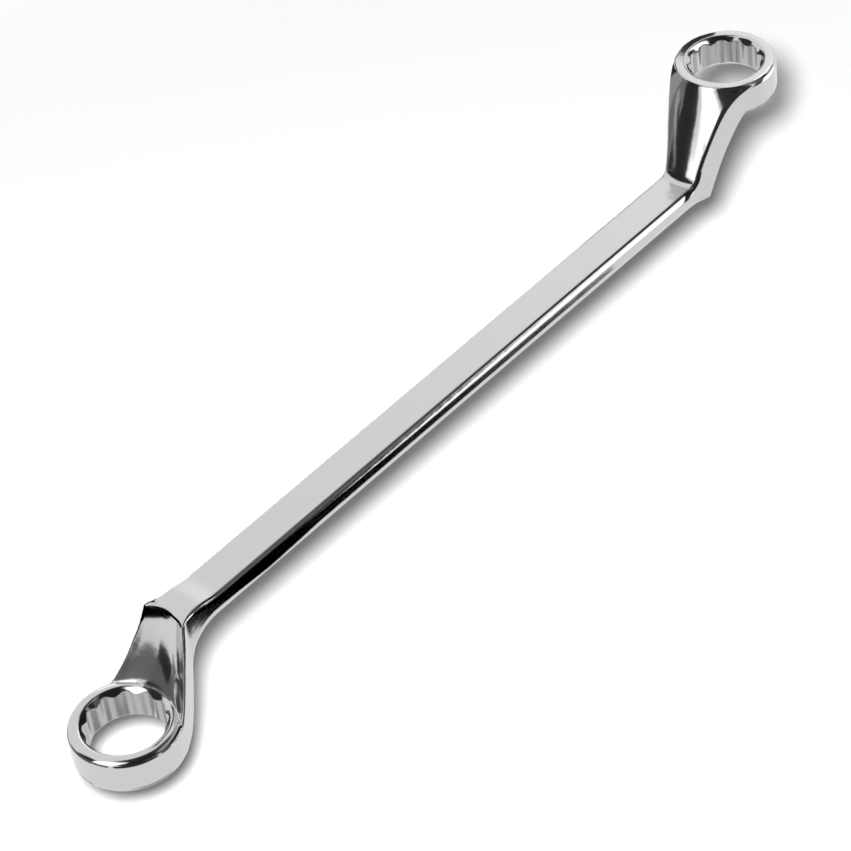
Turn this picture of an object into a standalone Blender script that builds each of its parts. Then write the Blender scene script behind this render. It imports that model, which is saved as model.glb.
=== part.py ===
# Deep offset double ended ring spanner, 16 mm by 17 mm, drop forged in one piece.
# Z type: the large ring hangs below the shank and the small ring stands above it.
# Frame: +X from the large ring to the small ring, +Z along both ring axes, metres.
# The origin is under the middle of the whole tool, level with the large ring's lower face.
import bmesh
import bpy
from math import acos, cos, pi, radians, sin, tan

MM = 0.001

# Whole tool
ring_spacing = 220.0 * MM  # from ring axis to ring axis
large_ring_drop = 19.9 * MM  # shank centre above the large ring's middle
small_ring_rise = 22.7 * MM  # small ring's middle above the shank centre

# Large ring, for 17 mm nuts
large_across_flats = 17.0 * MM
large_ring_wall = 4.5 * MM  # from the nut's flat to the outside
large_ring_height = 9.2 * MM
large_neck_start = radians(20)  # the neck leaves the ring's wall at this angle
large_neck_flare = radians(28.5)  # and runs on to the shank at this one
large_inner_bend = 7.0 * MM  # blend between the shank and the outside of the neck

# Small ring, for 16 mm nuts
small_across_flats = 16.0 * MM
small_ring_wall = 4.45 * MM
small_ring_height = 8.6 * MM
small_neck_start = radians(15.5)
small_neck_flare = radians(26.7)
small_inner_bend = 1.6 * MM

# Both sockets
nut_clearance = 0.15 * MM
mouth_angle = radians(45)
waist_clearance = 0.3 * MM  # the mouth cutter's waist stays this far off the ridges
socket_points = 12

# Both rings' rims, each a quarter ellipse: how far in over the face, how far along the wall
far_rim_reach = 0.9 * MM  # the face that is turned away from the shank
far_rim_depth = 1.5 * MM
near_rim_reach = 1.7 * MM
near_rim_depth = 1.4 * MM
face_width = 0.95 * MM  # flat stretch of the near face, between its mouth and its rim

# Shank
shank_width = 9.9 * MM
shank_thickness = 5.7 * MM
flat_inset = 0.85 * MM  # from the widest line to the edge of the flat face
side_band = 1.3 * MM  # height of the ground band along both sides
flare_blend = 10.0 * MM

# Necks: a leaning cone outside and a leaning hollow inside, as shares of the height
neck_swell_radius = 40.0 * MM  # both side walls, between their two angles
back_lean_share = 0.364  # of the outside's middle line
back_start_share = 0.5  # of the far rim's depth, where the neck grows out of the ring
back_inset = 0.25 * MM  # the middle line starts this far inside the ring's wall
back_radius_share = 1.12  # of the ring's radius, where the neck starts
back_flat_radius_share = 1.65  # the same from the next height on
back_flat_rise = 6.5 * MM
scoop_lean_share = 0.36
scoop_taper_share = 0.12
scoop_run = 3.1 * MM  # how far the hollow's fillet reaches in over the ring's face
scoop_rise = 14.0 * MM  # the height over the face where that fillet ends
scoop_spread_share = 2.0  # how much wider than the ring the hollow opens where its fillet starts
scoop_gap = 0.25 * MM  # the hollow starts this far outside the ring's wall
hood_turn = radians(75)  # the hollow's cutter is round up to here on both sides
seat = 0.05 * MM  # overlap of a neck and its ring, so that no two faces coincide

overrun = 4.0 * MM
round_steps = 96
bend_steps = 6

# Diameters and heights that follow from the sizes
large_ring_diameter = large_across_flats + 2 * large_ring_wall
small_ring_diameter = small_across_flats + 2 * small_ring_wall
face_margin = face_width + near_rim_reach
large_base_z = 0.0
large_top_z = large_base_z + large_ring_height
shank_z = large_base_z + large_ring_height / 2 + large_ring_drop
small_base_z = shank_z + small_ring_rise - small_ring_height / 2
small_top_z = small_base_z + small_ring_height

# Ring axes, so that the origin is under the middle of the tool
overall_length = ring_spacing + (large_ring_diameter + small_ring_diameter) / 2
large_x = (large_ring_diameter - overall_length) / 2
small_x = large_x + ring_spacing


def clear_scene():
    for obj in list(bpy.data.objects):
        bpy.data.objects.remove(obj, do_unlink=True)


def chrome_plate():
    material = bpy.data.materials.new("chrome_plate")
    material.use_nodes = True
    shader = material.node_tree.nodes["Principled BSDF"]
    shader.inputs["Base Color"].default_value = (0.78, 0.79, 0.80, 1.0)
    shader.inputs["Metallic"].default_value = 1.0
    shader.inputs["Roughness"].default_value = 0.12
    material.diffuse_color = (0.72, 0.73, 0.75, 1.0)
    return material


def object_from(name, bm, material, helper=True):
    bmesh.ops.recalc_face_normals(bm, faces=bm.faces)
    mesh = bpy.data.meshes.new(name)
    bm.to_mesh(mesh)
    bm.free()
    mesh.materials.append(material)
    mesh.shade_smooth()
    mesh.set_sharp_from_angle(angle=radians(35))
    obj = bpy.data.objects.new(name, mesh)
    bpy.context.scene.collection.objects.link(obj)
    if helper:
        obj.hide_render = True
        obj.display_type = "WIRE"
    return obj


def loft(name, loops, material, helper=True):
    """A closed solid through loops with the same number of points, capped at both ends."""
    bm = bmesh.new()
    rows = [[bm.verts.new(point) for point in loop] for loop in loops]
    for lower, upper in zip(rows, rows[1:]):
        for i in range(len(lower)):
            j = (i + 1) % len(lower)
            bm.faces.new((lower[i], lower[j], upper[j], upper[i]))
    bm.faces.new(rows[0])
    bm.faces.new(rows[-1])
    return object_from(name, bm, material, helper)


def circle(x, z, radius, steps=round_steps):
    turns = [2 * pi * i / steps for i in range(steps)]
    return [(x + radius * cos(a), radius * sin(a), z) for a in turns]


def hood(x, side, z, radius, wide):
    """A round front toward the shank, and behind it a back that is wider than the ring."""
    points = []
    for i in range(round_steps // 2 + 1):
        turn = hood_turn * (4 * i / round_steps - 1)
        points.append((x + side * radius * cos(turn), radius * sin(turn), z))
    shoulder = x + side * radius * cos(hood_turn)
    back = x - side * wide
    points += [(shoulder, wide, z), (back, wide, z), (back, -wide, z), (shoulder, -wide, z)]
    return points


def combine(obj, other, operation):
    modifier = obj.modifiers.new(other.name, "BOOLEAN")
    modifier.object = other
    modifier.operation = operation
    modifier.solver = "EXACT"


def arc(centre, radius, first, last):
    """Points (along, across) on an arc, each turn measured from straight across."""
    turns = [first + (last - first) * i / bend_steps for i in range(bend_steps + 1)]
    return [(centre[0] + radius * sin(a), centre[1] + radius * cos(a)) for a in turns]


def flare_outline(ring_diameter, start, flare, margin=0):
    """Half outline of the neck seen from above: (distance from the ring axis, half width)."""
    half = shank_width / 2 - margin
    back = ring_diameter / 2 - margin - neck_swell_radius
    wall = arc((back * sin(start), back * cos(start)), neck_swell_radius, start, flare)
    corner = wall[-1][0] + (wall[-1][1] - half) / tan(flare)
    foot = corner + flare_blend * tan(flare / 2)
    blend = arc((foot, half + flare_blend), -flare_blend, flare, 0)
    return wall + blend


def side_levels():
    """(height from the shank centre, inset) from the lower flat to the upper flat."""
    rise = shank_thickness / 2 - side_band / 2
    upper = []
    for i in range(bend_steps + 1):
        turn = pi / 2 * i / bend_steps
        upper.append((side_band / 2 + rise * sin(turn), flat_inset * (1 - cos(turn))))
    return [(-z, inset) for z, inset in reversed(upper)] + upper


def shank(material):
    """The shank with the upper ends of both necks, one outline at each level."""
    large = flare_outline(large_ring_diameter, large_neck_start, large_neck_flare)[bend_steps:]
    small = flare_outline(small_ring_diameter, small_neck_start, small_neck_flare)[bend_steps:]
    stations = [(large_x + along, half) for along, half in large]
    stations += [(small_x - along, half) for along, half in reversed(small)]
    loops = []
    for z, inset in side_levels():
        left = [(x, half - inset, shank_z + z) for x, half in stations]
        right = [(x, -y, height) for x, y, height in reversed(left)]
        loops.append(left + right)
    return loft("ring_spanner", loops, material, helper=False)


def back_levels(height, bend):
    """(height above the start, forward shift, share of the flat radius) of the neck's outside."""
    levels = [(0.0, 0.0, 0.0), (back_flat_rise, 0.0, 1.0)]
    for i in range(bend_steps + 1):
        turn = pi / 2 * i / bend_steps
        levels.append((height - bend * (1 - sin(turn)), bend * (1 - cos(turn)), 1.0))
    levels.append((height + shank_thickness, bend, 1.0))
    return levels


def neck(name, ring_x, side, diameter, angles, far_z, rise, bend, material):
    """The neck from the shank to the ring's far face: a leaning cone trimmed to the flare."""
    radius = diameter / 2
    start = far_rim_depth * back_start_share
    rings = []
    for height, forward, flat in back_levels(abs(shank_z - far_z) - shank_thickness / 2 - start, bend):
        share = back_radius_share + (back_flat_radius_share - back_radius_share) * flat
        front = radius - back_inset + forward + back_lean_share * (start + height)
        centre = ring_x + side * (front - share * radius)
        rings.append(circle(centre, far_z + rise * (start + height), share * radius))
    cone = loft(name + "_cone", rings, material)

    outline = flare_outline(diameter, *angles, seat)
    end = (outline[-1][0] + radius, outline[-1][1])
    left = [(ring_x + side * along, width) for along, width in outline + [end]]
    right = [(x, -y) for x, y in reversed(left)]
    loops = [[(x, y, z) for x, y in left + right] for z in (far_z, shank_z)]
    trimmed = loft(name, loops, material)
    combine(trimmed, cone, "INTERSECT")
    return trimmed


def scoop(name, ring_x, side, diameter, near_z, rise, material):
    """The hollow that clears the ring's bore, with a fillet that starts under the ring's rim."""
    radius = diameter / 2 + scoop_gap
    top = abs(shank_z - near_z) + shank_thickness / 2 + overrun
    fillet_rise = scoop_rise + near_rim_depth
    fillet_run = scoop_run / (1 - sin(acos(scoop_rise / fillet_rise)))
    levels = []
    for i in range(bend_steps + 1):
        turn = pi / 2 * i / bend_steps
        height = fillet_rise * (1 - cos(turn)) - near_rim_depth
        levels.append((height, fillet_run * (1 - sin(turn))))
    levels.append((top, 0.0))
    rings = []
    for height, inset in levels:
        back = (1 + scoop_spread_share) * inset
        shift = side * (scoop_lean_share * height - back)
        size = radius - scoop_taper_share * height + scoop_spread_share * inset
        z = near_z + rise * (height - seat)
        rings.append(hood(ring_x + shift, side, z, size, 2 * diameter))
    return loft(name, rings, material)


def barrel(name, ring_x, far_z, rise, diameter, height, material):
    """The ring without its socket: a turned disc with rounded rims."""
    radius = diameter / 2
    turns = [pi / 2 * i / bend_steps for i in range(bend_steps + 1)]
    profile = []
    for a in turns:
        profile.append((radius - far_rim_reach * (1 - sin(a)), far_rim_depth * (1 - cos(a))))
    for a in reversed(turns):
        profile.append((radius - near_rim_reach * (1 - sin(a)), height - near_rim_depth * (1 - cos(a))))
    return loft(name, [circle(ring_x, far_z + rise * z, r) for r, z in profile], material)


def star(name, ring_x, base_z, across_flats, height, material):
    """Two hexagons, one turned by half a step: the twelve point hole."""
    half = across_flats / 2 + nut_clearance / 2
    groove = half / cos(pi / 6)
    ridge = half / cos(pi / socket_points)
    outline = []
    for i in range(2 * socket_points):
        radius = ridge if i % 2 == 0 else groove
        turn = pi * i / socket_points
        outline.append((ring_x + radius * cos(turn), radius * sin(turn)))
    levels = (base_z - overrun, base_z + height + overrun)
    return loft(name, [[(x, y, z) for x, y in outline] for z in levels], material)


def mouths(name, ring_x, base_z, across_flats, diameter, height, material):
    """The lead in at both faces, turned as one cutter with a waist inside the ridges."""
    ridge = (across_flats + nut_clearance) / 2 / cos(pi / socket_points)
    waist = ridge - waist_clearance
    mouth = diameter / 2 - face_margin
    depth = (mouth - waist) / tan(mouth_angle)
    wide = mouth + seat * tan(mouth_angle)
    lower = [(wide, -overrun), (wide, -seat), (waist, depth)]
    profile = lower + [(r, height - z) for r, z in reversed(lower)]
    return loft(name, [circle(ring_x, base_z + z, r) for r, z in profile], material)


def ring_cutters(name, ring_x, base_z, across_flats, diameter, height, material):
    hole = star(name + "_hole", ring_x, base_z, across_flats, height, material)
    lead = mouths(name + "_mouths", ring_x, base_z, across_flats, diameter, height, material)
    return hole, lead


def build():
    clear_scene()
    chrome = chrome_plate()
    spanner = shank(chrome)
    large = (large_x, 1, large_ring_diameter)
    small = (small_x, -1, small_ring_diameter)
    large_angles = (large_neck_start, large_neck_flare)
    small_angles = (small_neck_start, small_neck_flare)
    bodies = (
        neck("large_neck", *large, large_angles, large_base_z, 1, large_inner_bend, chrome),
        neck("small_neck", *small, small_angles, small_top_z, -1, small_inner_bend, chrome),
    )
    hollows = (
        scoop("large_scoop", *large, large_top_z, 1, chrome),
        scoop("small_scoop", *small, small_base_z, -1, chrome),
    )
    for body in bodies:
        combine(spanner, body, "UNION")
    for hollow in hollows:
        combine(spanner, hollow, "DIFFERENCE")
    rings = (
        ("large_ring", large_x, large_base_z, 1, large_across_flats, large_ring_diameter,
         large_ring_height),
        ("small_ring", small_x, small_top_z, -1, small_across_flats, small_ring_diameter,
         small_ring_height),
    )
    for name, x, far_z, rise, across_flats, diameter, height in rings:
        combine(spanner, barrel(name, x, far_z, rise, diameter, height, chrome), "UNION")
        base_z = min(far_z, far_z + rise * height)
        for cutter in ring_cutters(name, x, base_z, across_flats, diameter, height, chrome):
            combine(spanner, cutter, "DIFFERENCE")


build()
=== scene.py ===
import bpy
import numpy as np
from math import cos, pi, radians, sin, sqrt, tan
from mathutils import Matrix, Vector


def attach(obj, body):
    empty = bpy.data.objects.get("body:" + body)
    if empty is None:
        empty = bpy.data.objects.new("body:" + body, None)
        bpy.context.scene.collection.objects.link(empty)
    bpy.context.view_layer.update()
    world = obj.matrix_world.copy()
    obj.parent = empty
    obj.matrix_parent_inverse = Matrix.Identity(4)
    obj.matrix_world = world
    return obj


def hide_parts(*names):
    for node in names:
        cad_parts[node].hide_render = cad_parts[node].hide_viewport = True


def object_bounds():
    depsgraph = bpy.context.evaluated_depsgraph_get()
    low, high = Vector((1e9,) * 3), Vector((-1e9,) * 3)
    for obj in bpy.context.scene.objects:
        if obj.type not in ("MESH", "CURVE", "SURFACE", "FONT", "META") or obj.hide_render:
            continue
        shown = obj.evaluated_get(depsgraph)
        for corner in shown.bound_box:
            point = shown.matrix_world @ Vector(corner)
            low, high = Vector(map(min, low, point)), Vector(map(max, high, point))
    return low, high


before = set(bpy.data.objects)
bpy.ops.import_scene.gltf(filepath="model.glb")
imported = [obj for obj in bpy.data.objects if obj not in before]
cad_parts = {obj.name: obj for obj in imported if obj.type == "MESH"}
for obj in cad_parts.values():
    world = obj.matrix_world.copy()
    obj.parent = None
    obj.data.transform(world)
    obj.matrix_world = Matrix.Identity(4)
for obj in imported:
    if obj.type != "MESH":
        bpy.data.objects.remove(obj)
first_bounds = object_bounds()

MM = 0.001

# Whole tool, in millimetres
RING_SPACING = 220.0
LARGE_RING_DROP = 19.9  # the shank's centre above the large ring's middle
SMALL_RING_RISE = 22.7  # the small ring's middle above the shank's centre
SHANK_WIDTH = 9.9
SHANK_THICKNESS = 5.7
SIDE_RADII = (0.85, 2.2)  # the rounded sides of the shank: across, and down from the flat
FLARE_BLEND = 10.0

# Rings and necks: start and flare are the side walls' first and last angle, bend and lip
# are the radii between the shank and the neck's outside, and around the hollow's edge
NUT_CLEARANCE = 0.15
LARGE = dict(
    side=1, rise=1, radius=13.0, height=9.2, across=17.0 + NUT_CLEARANCE,
    start=radians(20), flare=radians(28.5), bend=7.0, lip=(0.8, 1.1),
)
SMALL = dict(
    side=-1, rise=-1, radius=12.45, height=8.6, across=16.0 + NUT_CLEARANCE,
    start=radians(15.5), flare=radians(26.7), bend=1.6, lip=(1.2, 1.2),
)
SHANK_Z = LARGE["height"] / 2 + LARGE_RING_DROP
LARGE["x"] = -(RING_SPACING + SMALL["radius"] - LARGE["radius"]) / 2
SMALL["x"] = (RING_SPACING + LARGE["radius"] - SMALL["radius"]) / 2
LARGE["far_z"] = 0.0
SMALL["far_z"] = SHANK_Z + SMALL_RING_RISE + SMALL["height"] / 2

# Rims, quarter ellipses: in over the face, and along the wall
FAR_RIM = (0.9, 1.5)
NEAR_RIM = (2.2, 1.3)

# Outside of the necks, a leaning cone
SWELL_RADIUS = 40.0
BACK_LEAN, BACK_INSET = 0.364, 0.35
BACK_RADIUS, BACK_FLAT_RADIUS = 1.0, 1.65  # as shares of the ring's radius
BACK_START, BACK_FLAT_RISE = 0.75, 10.0
BACK_ROUND = 0.25
WALL_SHARE = 0.95  # the side walls flare, so they are nearer than it is straight across
CREASE_ROUND = 0.5
CREASE_BLEND = (15.0, 9.0)  # from here on, and for this long, it turns into SIDE_RADII

# Hollow of the necks, and its edge
HOLLOW_LEAN, HOLLOW_TAPER = 0.36, 0.12
HOLLOW_RUN, HOLLOW_RISE, HOLLOW_SPREAD, HOLLOW_GAP = 3.1, 14.0, 2.0, 0.25
HOLLOW_OPEN = 0.26  # short of this share of its radius, it is open to both sides
HOLLOW_FOOT = 0.01  # just over the fillet's start, where the fillet lies flat
FLATTEST, STEEPEST_LEAN = 0.999, 1.0  # these keep the field's slope in bounds there
LIP_BLEND = (18.0, 7.0)  # from this height on, and for this much more, the lip's radius changes

# Sockets
GROOVE_ROUND, RIDGE_ROUND, MOUTH_ROUND = 0.9, 0.35, 0.3
FACE_MARGIN = 2.65  # from a ring's outside to its socket's mouth
MOUTH_SHARE = 0.7071  # a cone of 45 degrees
# Soft edge of the socket mask, for the satin roughness and the painted shade of a darker base colour
SATIN_AND_SHADE_EDGE = 0.2

# Grid that the skin is made on
FINE = 0.3  # mesh pitch around the rings and necks
LONG = 3.0  # mesh pitch along the straight shank
STRAIGHT = 84.0  # the fine grid starts this far from the middle
GRID_LOW = (-123.4, -13.4, -0.4)
GRID_HIGH = (123.8, 13.5, 52.3)
ARC_STEPS, WALL_STEPS = 12, 24
SETTLE_ROUNDS, LEAST_SLOPE = 4, 0.05
NORMAL_REACH = 0.12

# Camera, fitted to the photo
VIEW_RIGHT = Vector((0.6508, -0.7516, -0.1076))
VIEW_UP = Vector((0.5568, 0.3761, 0.7406))
VIEW_FORWARD = Vector((0.5162, 0.5419, -0.6632))
EYE = Vector((-0.390835, -0.40244, 0.51146))
LENS, SENSOR_WIDTH = 135.37, 36.0

# Floor, in metres: it fades from matt white to plain white between the two distances
FLOOR_PLACE = (0.05, 0.04, -0.030)
FLOOR_SIZE = 12.0
FLOOR_FADE = (0.155, 0.3)
FLOOR_GLOW = 0.02  # share of plain white near the tool

# Lamp and world
LAMP_SHIFT = (-0.027, 0.032)  # right and up from the eye, metres
LAMP_RADIUS = 0.034
LAMP_POWER = 56.0
FILL = 0.17  # the world's strength as a light

X, Y, Z = 0, 1, 2
OVER_FLOOR, BEHIND = -29, 60  # planes of cards, in millimetres: across Z and across Y


def round_max(a, b, r):
    """Intersection of two fields with a round edge."""
    edge = np.hypot(np.maximum(a + r, 0), np.maximum(b + r, 0))
    return np.minimum(np.maximum(a, b), -r) + edge


def round_min(a, b, r):
    """Union of two fields with a fillet."""
    return -round_max(-a, -b, r)


def edge_round(a, b, ra, rb):
    """Intersection of two fields with an elliptical edge."""
    la, lb = np.maximum(a / ra + 1, 0), np.maximum(b / rb + 1, 0)
    size = np.hypot(la, lb)
    inside = size < 1e-6
    size = np.where(inside, 1, size)
    slope = np.where(inside, 1, np.hypot(la / ra, lb / rb) / size)
    return np.where(inside, np.maximum(a, b) - np.minimum(ra, rb), (size - 1) / slope)


def blend(value, start, length):
    """0 up to the start and 1 from its length on, with soft ends."""
    share = np.clip((value - start) / length, 0, 1)
    return share * share * (3 - 2 * share)


def half_outline(end):
    """Half width of neck and shank against the distance from the ring's axis."""
    half, radius = SHANK_WIDTH / 2, end["radius"]
    start, flare = end["start"], end["flare"]
    points = [(0.0, radius)]
    for a in np.linspace(0, start, ARC_STEPS)[1:-1]:
        points.append((radius * sin(a), radius * cos(a)))
    back = radius - SWELL_RADIUS
    for a in np.linspace(start, flare, WALL_STEPS):
        along = back * sin(start) + SWELL_RADIUS * sin(a)
        points.append((along, back * cos(start) + SWELL_RADIUS * cos(a)))
    reach, width = points[-1]
    foot = reach + (width - half) / tan(flare) + FLARE_BLEND * tan(flare / 2)
    for a in np.linspace(flare, 0, WALL_STEPS):
        points.append((foot - FLARE_BLEND * sin(a), half + FLARE_BLEND * (1 - cos(a))))
    return np.array(points), reach


def neck_field(end, u, y, t):
    """Shank and neck, still without the hollow."""
    outline, reach = end["outline"]
    level = abs(SHANK_Z - end["far_z"])
    slab = np.maximum(np.abs(t - level) - SHANK_THICKNESS / 2, reach - u)
    flat = 1 - (1 - np.clip((t - BACK_START) / BACK_FLAT_RISE, 0, 1)) ** 2
    size = end["radius"] * (BACK_RADIUS + (BACK_FLAT_RADIUS - BACK_RADIUS) * flat)
    front = end["radius"] - BACK_INSET + BACK_LEAN * t
    cone = (np.hypot(u - front + size, y) - size) / sqrt(1 + BACK_LEAN ** 2)
    cone = round_max(cone, np.maximum(-t, t - level), BACK_ROUND)
    solid = round_min(cone, slab, end["bend"])
    wall = WALL_SHARE * (np.abs(y) - np.interp(u, outline[:, 0], outline[:, 1]))
    straight = blend(u, *CREASE_BLEND)
    across = CREASE_ROUND + (SIDE_RADII[0] - CREASE_ROUND) * straight
    down = CREASE_ROUND + (SIDE_RADII[1] - CREASE_ROUND) * straight
    body = np.maximum(edge_round(wall, solid, across, down), edge_round(wall, -t, *FAR_RIM))
    return np.maximum(body, end["radius"] * sin(end["start"]) - u)


def hollow_field(end, u, y, t):
    """The leaning hollow over the ring's near face, with its long fillet from under the rim."""
    rim = NEAR_RIM[1]
    rise = HOLLOW_RISE + rim
    run = HOLLOW_RUN / (1 - sqrt(1 - (HOLLOW_RISE / rise) ** 2))
    h = np.maximum(t - end["height"], HOLLOW_FOOT - rim)
    q = np.clip(1 - (h + rim) / rise, 0, FLATTEST)
    root = np.sqrt(1 - q * q)
    inset = run * (1 - root)
    middle = HOLLOW_LEAN * h - (1 + HOLLOW_SPREAD) * inset
    size = end["radius"] + HOLLOW_GAP - HOLLOW_TAPER * h + HOLLOW_SPREAD * inset
    lean = np.minimum(HOLLOW_LEAN - HOLLOW_TAPER + run * q / root / rise, STEEPEST_LEAN)
    field = np.minimum(np.hypot(u - middle, y) - size, u - middle - HOLLOW_OPEN * size)
    field = field / np.sqrt(1 + lean * lean)
    return np.maximum(field, end["height"] - rim - t)


def hexagon(u, y, half, turn):
    sides = [np.abs(u * cos(a) + y * sin(a)) - half for a in (turn, turn + pi / 3, turn + 2 * pi / 3)]
    return round_max(round_max(sides[0], sides[1], GROOVE_ROUND), sides[2], GROOVE_ROUND)


def socket_field(end, u, y, t):
    """The twelve point hole with its cone mouths."""
    half = end["across"] / 2
    points = round_min(hexagon(u, y, half, pi / 12), hexagon(u, y, half, -pi / 12), RIDGE_ROUND)
    rho = np.hypot(u, y) - (end["radius"] - FACE_MARGIN)
    near = MOUTH_SHARE * (rho + np.maximum(end["height"] - t, 0))
    far = MOUTH_SHARE * (rho + np.maximum(t, 0))
    return np.minimum(points, np.minimum(near, far))


def half_field(end, x, y, z):
    """Signed field of the half of the tool on this end's side."""
    u = end["side"] * (x - end["x"])
    t = end["rise"] * (z - end["far_z"])
    low_lip, high_lip = end["lip"]
    lip = low_lip + (high_lip - low_lip) * blend(t, *LIP_BLEND)
    body = round_max(neck_field(end, u, y, t), -hollow_field(end, u, y, t), lip)
    wall = np.hypot(u, y) - end["radius"]
    ring = np.maximum(edge_round(wall, -t, *FAR_RIM), edge_round(wall, t - end["height"], *NEAR_RIM))
    body = np.minimum(body, ring)
    return round_max(body, -socket_field(end, u, y, t), MOUTH_ROUND)


def whole_field(x, y, z):
    out = np.empty(np.broadcast(x, y, z).shape)
    x, y, z = np.broadcast_arrays(x, y, z)
    low = x < 0
    out[low] = half_field(LARGE, x[low], y[low], z[low])
    out[~low] = half_field(SMALL, x[~low], y[~low], z[~low])
    return out


def gradient(points, step=0.02):
    out = np.empty_like(points)
    for axis in (X, Y, Z):
        shift = np.zeros(3)
        shift[axis] = step
        ahead, behind = points + shift, points - shift
        out[:, axis] = (whole_field(*ahead.T) - whole_field(*behind.T)) / (2 * step)
    return out


def grid_lines():
    """The grid along x, y and z: fine around both rings and necks, long over the shank."""
    first = np.arange(GRID_LOW[X], -STRAIGHT, FINE)
    middle = np.linspace(first[-1], STRAIGHT, int(2 * STRAIGHT / LONG) + 1)
    last = STRAIGHT + FINE * np.arange(1, int((GRID_HIGH[X] - STRAIGHT) / FINE) + 2)
    x = np.concatenate([first, middle[1:], last])
    y = np.arange(GRID_LOW[Y] - FINE / 2, GRID_HIGH[Y] + FINE, FINE)
    z = np.arange(GRID_LOW[Z] - FINE, GRID_HIGH[Z], FINE)
    return x, y, z


def cut_points(values, inside, grid):
    """Per cell, how many of its edges cross the surface, and the sum of the crossings."""
    cells = np.zeros(tuple(n - 1 for n in values.shape), int)
    total = np.zeros(cells.shape + (3,), np.float32)
    corners = [slice(None, -1), slice(1, None)]
    for axis in (X, Y, Z):
        lower = [slice(None)] * 3
        upper = [slice(None)] * 3
        lower[axis], upper[axis] = corners
        cross = inside[tuple(lower)] != inside[tuple(upper)]
        a, b = values[tuple(lower)], values[tuple(upper)]
        share = np.where(cross, a / np.where(cross, a - b, 1), 0)
        place = []
        for k in (X, Y, Z):
            shape = [1, 1, 1]
            shape[k] = -1
            if k == axis:
                place.append(grid[k][:-1].reshape(shape) + share * np.diff(grid[k]).reshape(shape))
            else:
                place.append(grid[k].reshape(shape))
        others = [k for k in (X, Y, Z) if k != axis]
        for i in (0, 1):
            for j in (0, 1):
                pick = [slice(None)] * 3
                pick[others[0]], pick[others[1]] = corners[i], corners[j]
                pick = tuple(pick)
                cells += cross[pick]
                for k in (X, Y, Z):
                    whole = np.broadcast_to(place[k], cross.shape)[pick]
                    total[..., k] += np.where(cross[pick], whole, 0)
    return cells, total


def cut_quads(inside, number):
    """A quad around each grid edge that crosses the surface, through its four cells."""
    quads = []
    for axis in (X, Y, Z):
        lower = [slice(1, -1)] * 3
        upper = [slice(1, -1)] * 3
        lower[axis], upper[axis] = slice(None, -1), slice(1, None)
        first, second = inside[tuple(lower)], inside[tuple(upper)]
        place = np.argwhere(first != second)
        flip = first[tuple(place.T)]
        for k in (X, Y, Z):
            if k != axis:
                place[:, k] += 1
        ring = []
        for step in ((-1, -1), (0, -1), (0, 0), (-1, 0)):
            cell = place.copy()
            cell[:, (axis + 1) % 3] += step[0]
            cell[:, (axis + 2) % 3] += step[1]
            ring.append(number[tuple(cell.T)])
        ring = np.stack(ring, 1)
        ring[~flip] = ring[~flip][:, ::-1]
        quads.append(ring)
    return np.concatenate(quads)


def surface_net():
    """Vertices and quads of the zero surface on the grid."""
    x, y, z = grid_lines()
    values = np.stack([whole_field(place, y[:, None], z[None, :]) for place in x])
    inside = values < 0
    cells, total = cut_points(values, inside, (x, y, z))
    active = cells > 0
    number = np.full(cells.shape, -1)
    number[active] = np.arange(active.sum())
    points = total[active] / cells[active][:, None]
    return points.astype(float), cut_quads(inside, number)


def settle(points):
    """Moves each vertex onto the surface, straight up or down the field."""
    for _ in range(SETTLE_ROUNDS):
        slope = gradient(points)
        value = whole_field(*points.T)
        step = slope * (value / np.maximum((slope ** 2).sum(1), LEAST_SLOPE))[:, None]
        length = np.linalg.norm(step, axis=1, keepdims=True)
        points = points - step * np.minimum(1, 0.5 * FINE / np.maximum(length, 1e-9))
    low, high = (np.array(corner) / MM for corner in first_bounds)
    return np.clip(points, low, high)


def in_socket(points):
    """1 on the flutes of a socket, 0 on its mouths and elsewhere: where the chrome turns satin and a
    darker base colour paints shade into the socket.
    """
    x, y, z = points.T
    share = np.zeros(len(points))
    for end in (LARGE, SMALL):
        mouth = end["radius"] - FACE_MARGIN
        t = end["rise"] * (z - end["far_z"])
        r = np.hypot(x - end["x"], y)
        depth = np.minimum(t, end["height"] - t)
        share += np.where(r < mouth, np.clip((r + depth - mouth) / SATIN_AND_SHADE_EDGE, 0, 1), 0)
    return np.clip(share, 0, 1)


def skin():
    """The spanner's visible mesh, with normals taken from the field."""
    for end in (LARGE, SMALL):
        end["outline"] = half_outline(end)
    points, quads = surface_net()
    points = settle(points)
    normals = gradient(points, NORMAL_REACH)
    normals /= np.maximum(np.linalg.norm(normals, axis=1, keepdims=True), 1e-9)
    mesh = bpy.data.meshes.new("spanner_skin")
    mesh.vertices.add(len(points))
    mesh.vertices.foreach_set("co", (points * MM).astype(np.float32).ravel())
    mesh.loops.add(quads.size)
    mesh.loops.foreach_set("vertex_index", quads.astype(np.int32).ravel())
    mesh.polygons.add(len(quads))
    mesh.polygons.foreach_set("loop_start", np.arange(0, quads.size, 4, dtype=np.int32))
    mesh.update(calc_edges=True)
    mesh.validate()
    mesh.shade_smooth()
    mesh.normals_split_custom_set_from_vertices(normals.tolist())
    # Socket mask: satin roughness, and a darker base colour that is painted shade inside the sockets
    satin_and_painted_shade = mesh.attributes.new("satin_and_painted_shade", "FLOAT", "POINT")
    satin_and_painted_shade.data.foreach_set("value", in_socket(points).astype(np.float32))
    obj = bpy.data.objects.new("spanner_skin", mesh)
    bpy.context.scene.collection.objects.link(obj)
    return obj


def new_tree(name):
    """A material and its node tree."""
    material = bpy.data.materials.new(name)
    material.use_nodes = True
    return material, material.node_tree


def new_node(tree, kind, values):
    """A node with values on its sockets."""
    node = tree.nodes.new(kind)
    for socket, value in values.items():
        node.inputs[socket].default_value = value
    return node


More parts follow.
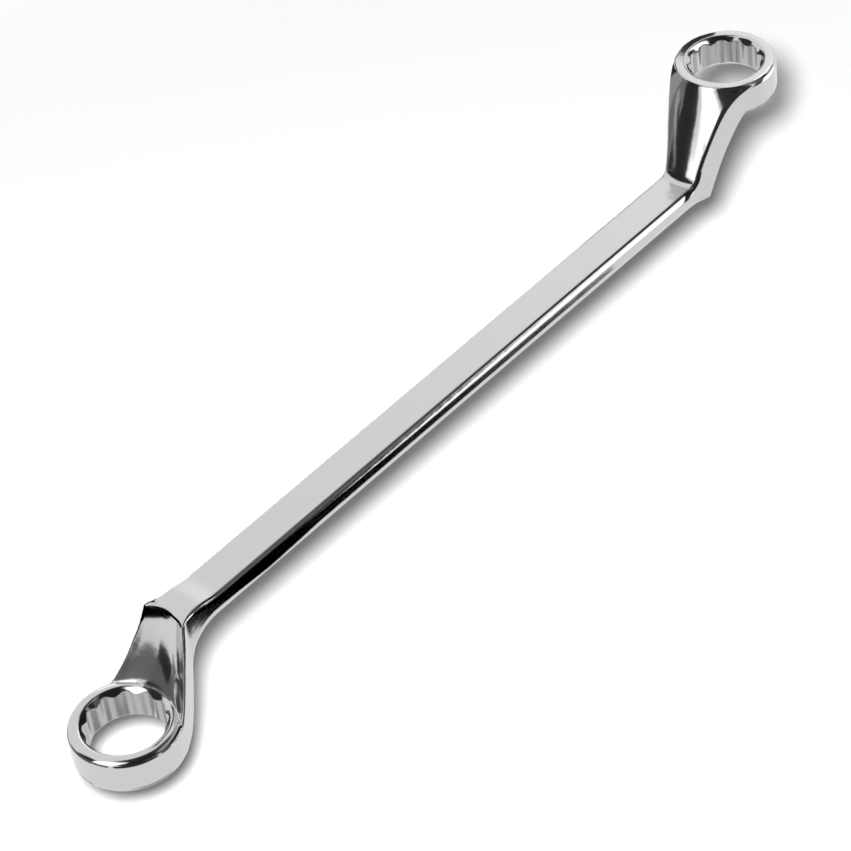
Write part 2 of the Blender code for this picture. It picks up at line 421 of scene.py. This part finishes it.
def chrome():
    """Polished chrome with faint waves from the forging under it; on the flutes satin roughness and a
    darker base colour, which is painted shade inside the sockets.
    """
    material, tree = new_tree("polished_chrome")
    shader = tree.nodes["Principled BSDF"]
    shader.inputs["Metallic"].default_value = 1.0
    place = tree.nodes.new("ShaderNodeTexCoord")
    smear = new_node(tree, "ShaderNodeTexNoise", {"Scale": 90.0, "Detail": 4.0})
    spread = new_node(tree, "ShaderNodeMapRange", {"To Min": 0.07, "To Max": 0.15})
    tree.links.new(place.outputs["Object"], smear.inputs["Vector"])
    tree.links.new(smear.outputs["Fac"], spread.inputs["Value"])
    # The socket mask drives the satin roughness and the painted shade of the base colour below
    satin_and_painted_shade = tree.nodes.new("ShaderNodeAttribute")
    satin_and_painted_shade.attribute_name = "satin_and_painted_shade"
    rough = new_node(tree, "ShaderNodeMix", {"B": 0.25})
    tree.links.new(satin_and_painted_shade.outputs["Fac"], rough.inputs["Factor"])
    tree.links.new(spread.outputs["Result"], rough.inputs["A"])
    tree.links.new(rough.outputs["Result"], shader.inputs["Roughness"])
    # Darker base colour on the flutes: painted shade inside the sockets
    painted_socket_shade = tree.nodes.new("ShaderNodeMix")
    painted_socket_shade.data_type = "RGBA"
    painted_socket_shade.inputs["A"].default_value = (0.60, 0.60, 0.605, 1)
    painted_socket_shade.inputs["B"].default_value = (0.47, 0.47, 0.475, 1)
    tree.links.new(satin_and_painted_shade.outputs["Fac"], painted_socket_shade.inputs["Factor"])
    tree.links.new(painted_socket_shade.outputs["Result"], shader.inputs["Base Color"])
    wave = new_node(tree, "ShaderNodeTexNoise", {"Scale": 260.0, "Detail": 3.0})
    bump = new_node(tree, "ShaderNodeBump", {"Strength": 0.18, "Distance": 0.0002})
    tree.links.new(place.outputs["Object"], wave.inputs["Vector"])
    tree.links.new(wave.outputs["Fac"], bump.inputs["Height"])
    tree.links.new(bump.outputs["Normal"], shader.inputs["Normal"])
    return material


def add_camera():
    data = bpy.data.cameras.new("camera")
    data.lens = LENS
    data.sensor_width = SENSOR_WIDTH
    data.clip_start, data.clip_end = 0.05, 20.0
    obj = bpy.data.objects.new("camera", data)
    forward = VIEW_FORWARD.normalized()
    right = forward.cross(VIEW_UP).normalized()
    up = right.cross(forward)
    turn = Matrix((right, up, -forward)).transposed()
    obj.matrix_world = Matrix.Translation(EYE) @ turn.to_4x4()
    bpy.context.scene.collection.objects.link(obj)
    bpy.context.scene.camera = obj


def seen(tree):
    """1 where a camera, mirror or glass ray looks, 0 where a ray gathers light."""
    path = tree.nodes.new("ShaderNodeLightPath")
    total = path.outputs["Is Camera Ray"]
    for kind in ("Is Glossy Ray", "Is Transmission Ray"):
        more = tree.nodes.new("ShaderNodeMath")
        more.operation = "MAXIMUM"
        tree.links.new(total, more.inputs[0])
        tree.links.new(path.outputs[kind], more.inputs[1])
        total = more.outputs[0]
    return total


def white_sweep():
    """Matt white that keeps the shadow near the tool and runs out into plain white."""
    material, tree = new_tree("white_sweep")
    shader = tree.nodes["Principled BSDF"]
    shader.inputs["Base Color"].default_value = (0.95, 0.95, 0.95, 1)
    shader.inputs["Roughness"].default_value = 1.0
    shader.inputs["Specular IOR Level"].default_value = 0.0
    white = new_node(tree, "ShaderNodeEmission", {"Strength": 1.0})
    place = tree.nodes.new("ShaderNodeTexCoord")
    away = tree.nodes.new("ShaderNodeVectorMath")
    away.operation = "LENGTH"
    tree.links.new(place.outputs["Object"], away.inputs[0])
    near, far = FLOOR_FADE
    ends = {"From Min": near, "From Max": far, "To Min": FLOOR_GLOW, "To Max": 1.0}
    ramp = new_node(tree, "ShaderNodeMapRange", ends)
    ramp.interpolation_type = "SMOOTHSTEP"
    tree.links.new(away.outputs["Value"], ramp.inputs["Value"])
    share = tree.nodes.new("ShaderNodeMath")
    share.operation = "MULTIPLY"
    tree.links.new(ramp.outputs["Result"], share.inputs[0])
    tree.links.new(seen(tree), share.inputs[1])
    mix = tree.nodes.new("ShaderNodeMixShader")
    tree.links.new(share.outputs[0], mix.inputs["Fac"])
    tree.links.new(shader.outputs["BSDF"], mix.inputs[1])
    tree.links.new(white.outputs["Emission"], mix.inputs[2])
    tree.links.new(mix.outputs["Shader"], tree.nodes["Material Output"].inputs["Surface"])
    return material


def add_floor():
    """A floor under the tool. The chrome doesn't mirror it, but the white world behind it."""
    mesh = bpy.data.meshes.new("floor")
    corners = [(-1, -1), (1, -1), (1, 1), (-1, 1)]
    mesh.from_pydata([(FLOOR_SIZE * x, FLOOR_SIZE * y, 0) for x, y in corners], [], [(0, 1, 2, 3)])
    obj = bpy.data.objects.new("floor", mesh)
    obj.location = FLOOR_PLACE
    obj.visible_glossy = False
    bpy.context.scene.collection.objects.link(obj)
    mesh.materials.append(white_sweep())


def add_lights():
    """One soft lamp beside the camera, even at every distance, and a plain white world."""
    lamp = bpy.data.lights.new("key", "POINT")
    lamp.energy = LAMP_POWER
    lamp.shadow_soft_size = LAMP_RADIUS
    lamp.use_nodes = True
    falloff = new_node(lamp.node_tree, "ShaderNodeLightFalloff", {"Strength": 1.0})
    glow = lamp.node_tree.nodes["Emission"]
    lamp.node_tree.links.new(falloff.outputs["Constant"], glow.inputs["Strength"])
    obj = bpy.data.objects.new("key", lamp)
    obj.location = EYE + LAMP_SHIFT[0] * VIEW_RIGHT + LAMP_SHIFT[1] * VIEW_UP
    obj.visible_glossy = False
    bpy.context.scene.collection.objects.link(obj)
    world = bpy.data.worlds.new("studio")
    bpy.context.scene.world = world
    world.use_nodes = True
    tree = world.node_tree
    back = tree.nodes["Background"]
    back.inputs["Color"].default_value = (1, 1, 1, 1)
    level = new_node(tree, "ShaderNodeMapRange", {"To Min": FILL, "To Max": 1.0})
    tree.links.new(seen(tree), level.inputs["Value"])
    tree.links.new(level.outputs["Result"], back.inputs["Strength"])


def plain_glow(name, level):
    """One even brightness."""
    material, tree = new_tree(name)
    tree.nodes.remove(tree.nodes["Principled BSDF"])
    glow = new_node(tree, "ShaderNodeEmission", {"Strength": level})
    tree.links.new(glow.outputs[0], tree.nodes["Material Output"].inputs["Surface"])
    return material


def soft_glow(name, level, soft):
    """One brightness that fades out along the edges, over this share of half the card."""
    material, tree = new_tree(name)
    tree.nodes.remove(tree.nodes["Principled BSDF"])
    place = tree.nodes.new("ShaderNodeTexCoord")
    parts = tree.nodes.new("ShaderNodeSeparateXYZ")
    tree.links.new(place.outputs["Object"], parts.inputs[0])
    both = tree.nodes.new("ShaderNodeMath")
    both.operation = "MULTIPLY"
    for i, axis in enumerate(("X", "Y")):
        size = tree.nodes.new("ShaderNodeMath")
        size.operation = "ABSOLUTE"
        tree.links.new(parts.outputs[axis], size.inputs[0])
        ramp = new_node(tree, "ShaderNodeMapRange", {"From Min": 1.0, "From Max": 1.0 - soft})
        ramp.interpolation_type = "SMOOTHSTEP"
        tree.links.new(size.outputs[0], ramp.inputs["Value"])
        tree.links.new(ramp.outputs["Result"], both.inputs[i])
    clear = tree.nodes.new("ShaderNodeBsdfTransparent")
    glow = new_node(tree, "ShaderNodeEmission", {"Strength": level})
    mix = tree.nodes.new("ShaderNodeMixShader")
    tree.links.new(both.outputs[0], mix.inputs["Fac"])
    tree.links.new(clear.outputs[0], mix.inputs[1])
    tree.links.new(glow.outputs[0], mix.inputs[2])
    tree.links.new(mix.outputs["Shader"], tree.nodes["Material Output"].inputs["Surface"])
    return material


def hang(name, points, material, turned=Matrix()):
    """One flat face that only mirror rays see."""
    mesh = bpy.data.meshes.new(name)
    mesh.from_pydata(points, [], [tuple(range(len(points)))])
    mesh.materials.append(material)
    obj = bpy.data.objects.new(name, mesh)
    obj.matrix_world = turned
    for kind in ("camera", "diffuse", "transmission", "volume_scatter", "shadow"):
        setattr(obj, "visible_" + kind, False)
    bpy.context.scene.collection.objects.link(obj)


def card(name, azimuth, elevation, wide, tall, level, turn=0.0, soft=0.15, reach=8.0, at=(0, 0, 0.02)):
    """A card that faces a point in metres: its direction and size in degrees from there."""
    a, e = radians(azimuth), radians(elevation)
    out = Vector((cos(a) * cos(e), sin(a) * cos(e), sin(e)))
    side = out.cross(Vector((0, 0, 1))).normalized()
    up = side.cross(out)
    t = radians(turn)
    side, up = cos(t) * side + sin(t) * up, cos(t) * up - sin(t) * side
    axes = Matrix((side, up, out)).transposed().to_4x4()
    size = Matrix.Diagonal((reach * tan(radians(wide / 2)), reach * tan(radians(tall / 2)), 1, 1))
    turned = Matrix.Translation(Vector(at) + out * reach) @ axes @ size
    corners = [(-1, -1, 0), (1, -1, 0), (1, 1, 0), (-1, 1, 0)]
    hang(name, corners, soft_glow(name, level, soft), turned)


def plain_card(name, axis, place, corners, level):
    """A card square to an axis at a place on it, its corners on the other two, in millimetres."""
    points = [list(corner) for corner in corners]
    for point in points:
        point.insert(axis, place)
    hang(name, [[v * MM for v in point] for point in points], plain_glow(name, level))


def add_left_cards():
    """Left of the tool: a window low over the table between two dark cards, and two lines."""
    card("left_window", 179, 4, 29, 16, 2.0, turn=-23, reach=7.0)
    card("left_dark", 143.5, 20, 35, 76, 0.03, soft=0.08)
    card("left_shade", 122, -8, 14, 30, 0.2, soft=0.3)
    card("left_grey", 104, -10, 30, 24, 0.4, soft=0.3)
    card("front_dark", 236, 2, 80, 66, 0.04, soft=0.08)
    line = [(67, 40), (62, 40), (39, 27), (17, 20), (21, 20), (44, 27)]
    plain_card("left_line", Y, BEHIND, line, 0.8)
    plain_card("left_thread", Y, BEHIND, [(51, 42), (48, 42), (36, 34), (39, 34)], 0.7)


def add_high_cards():
    """High over the left and the front."""
    card("high_window", 172, 48, 35, 50, 2.0, soft=0.1, reach=0.05, at=(-0.115, -0.006, 0.009))
    card("high_dark", 252, 57, 72, 48, 0.02, soft=0.05)
    card("over_dark", 340, 86, 32, 30, 0.03)
    card("top_dark", 345, 66, 40, 14, 0.1)


def add_right_cards():
    """Right of the shank, from low to high."""
    dark = [(-38, -15), (-42, -26), (-46, -36), (-52, -43), (-57, -48), (-64, -54), (-5, -170)]
    dark += [(30, -170), (12, -120), (10, -80), (30, -63), (60, -54), (105, -50), (105, -44)]
    dark += [(60, -41), (-15, -38)]
    plain_card("low_dark", Z, OVER_FLOOR, dark, 0.0)
    card("low_shade", 293.5, -21, 22, 22, 0.03)
    card("side_shade", 292, 16, 24, 56, 0.13)
    card("side_window", 325, -20, 41, 30, 2.0)
    card("side_dark", 323, 25, 46, 44, 0.02)
    card("upper_shade", 330, 57, 60, 22, 0.45, soft=0.3)
    bend = [(89.3, 20.5), (91.8, 20.5), (91.8, 28.5), (89.3, 28.5)]
    plain_card("bend_dark", Y, -9, bend, 0.02)


def add_shank_cards():
    """Behind the shank's far edge, and over the shank."""
    plain_card("edge_dark", Y, BEHIND, [(98, 30), (165, 30), (165, 72), (98, 72)], 0.03)
    card("top_light", 28, 30, 50, 40, 1.3, soft=1.0)


def add_near_cards():
    """Around the near ring: for the hollow of its neck and its lip, the rim and the flutes."""
    grey = [(-11, -1), (-8, -1), (-4, 3.5), (8, 4.5), (22, 6.5), (36, 10), (50, 12), (62, -5)]
    grey += [(88, -5), (88, 8), (60, 26), (-11, 26)]
    plain_card("near_grey", X, -150, grey, 0.16)
    lip = [(2, 22.4), (4, 22.5), (4.7, 22.7), (5, 22.2), (9, 21.4), (9, 35), (2, 35)]
    plain_card("lip_dark", X, -99, lip, 0.0)
    plain_card("lip_side", Y, 9, [(-99, 21.4), (-88, 22), (-88, 35), (-99, 35)], 0.0)
    plain_card("lip_white", Y, BEHIND, [(-114, -29), (-93, -29), (-93, -20), (-114, -20)], 2.0)
    plain_card("beside_light", X, -80, [(6, 19), (64, 19), (58, 28), (6, 28)], 2.0)
    before = [(-131, -13), (-96, -13), (-97, -26), (-113, -30), (-127, -25)]
    plain_card("flute_dark", Z, OVER_FLOOR, before, 0.3)
    behind = [(-132, 18), (-105, 18), (-104, 28), (-116, 31), (-128, 27)]
    plain_card("flute_shade", Z, OVER_FLOOR, behind, 0.3)


def add_far_cards():
    """Beside the far ring, for its face and mouth."""
    plain_card("far_dark", X, 125, [(14, 57), (30, 57), (33, 69.5), (19, 69.5)], 0.03)
    card("far_light", 315, 41, 45, 20, 2.0, reach=0.03, at=(0.110, 0.009, 0.050))
    card("far_patch", 333, 30, 30, 20, 1.3, reach=0.02, at=(0.112, -0.0118, 0.0513))


body = skin()
body.data.materials.append(chrome())
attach(body, "root")
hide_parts("ring_spanner")

add_camera()
add_floor()
add_lights()
add_left_cards()
add_high_cards()
add_right_cards()
add_shank_cards()
add_near_cards()
add_far_cards()
scene = bpy.context.scene
scene.view_settings.view_transform = "Standard"
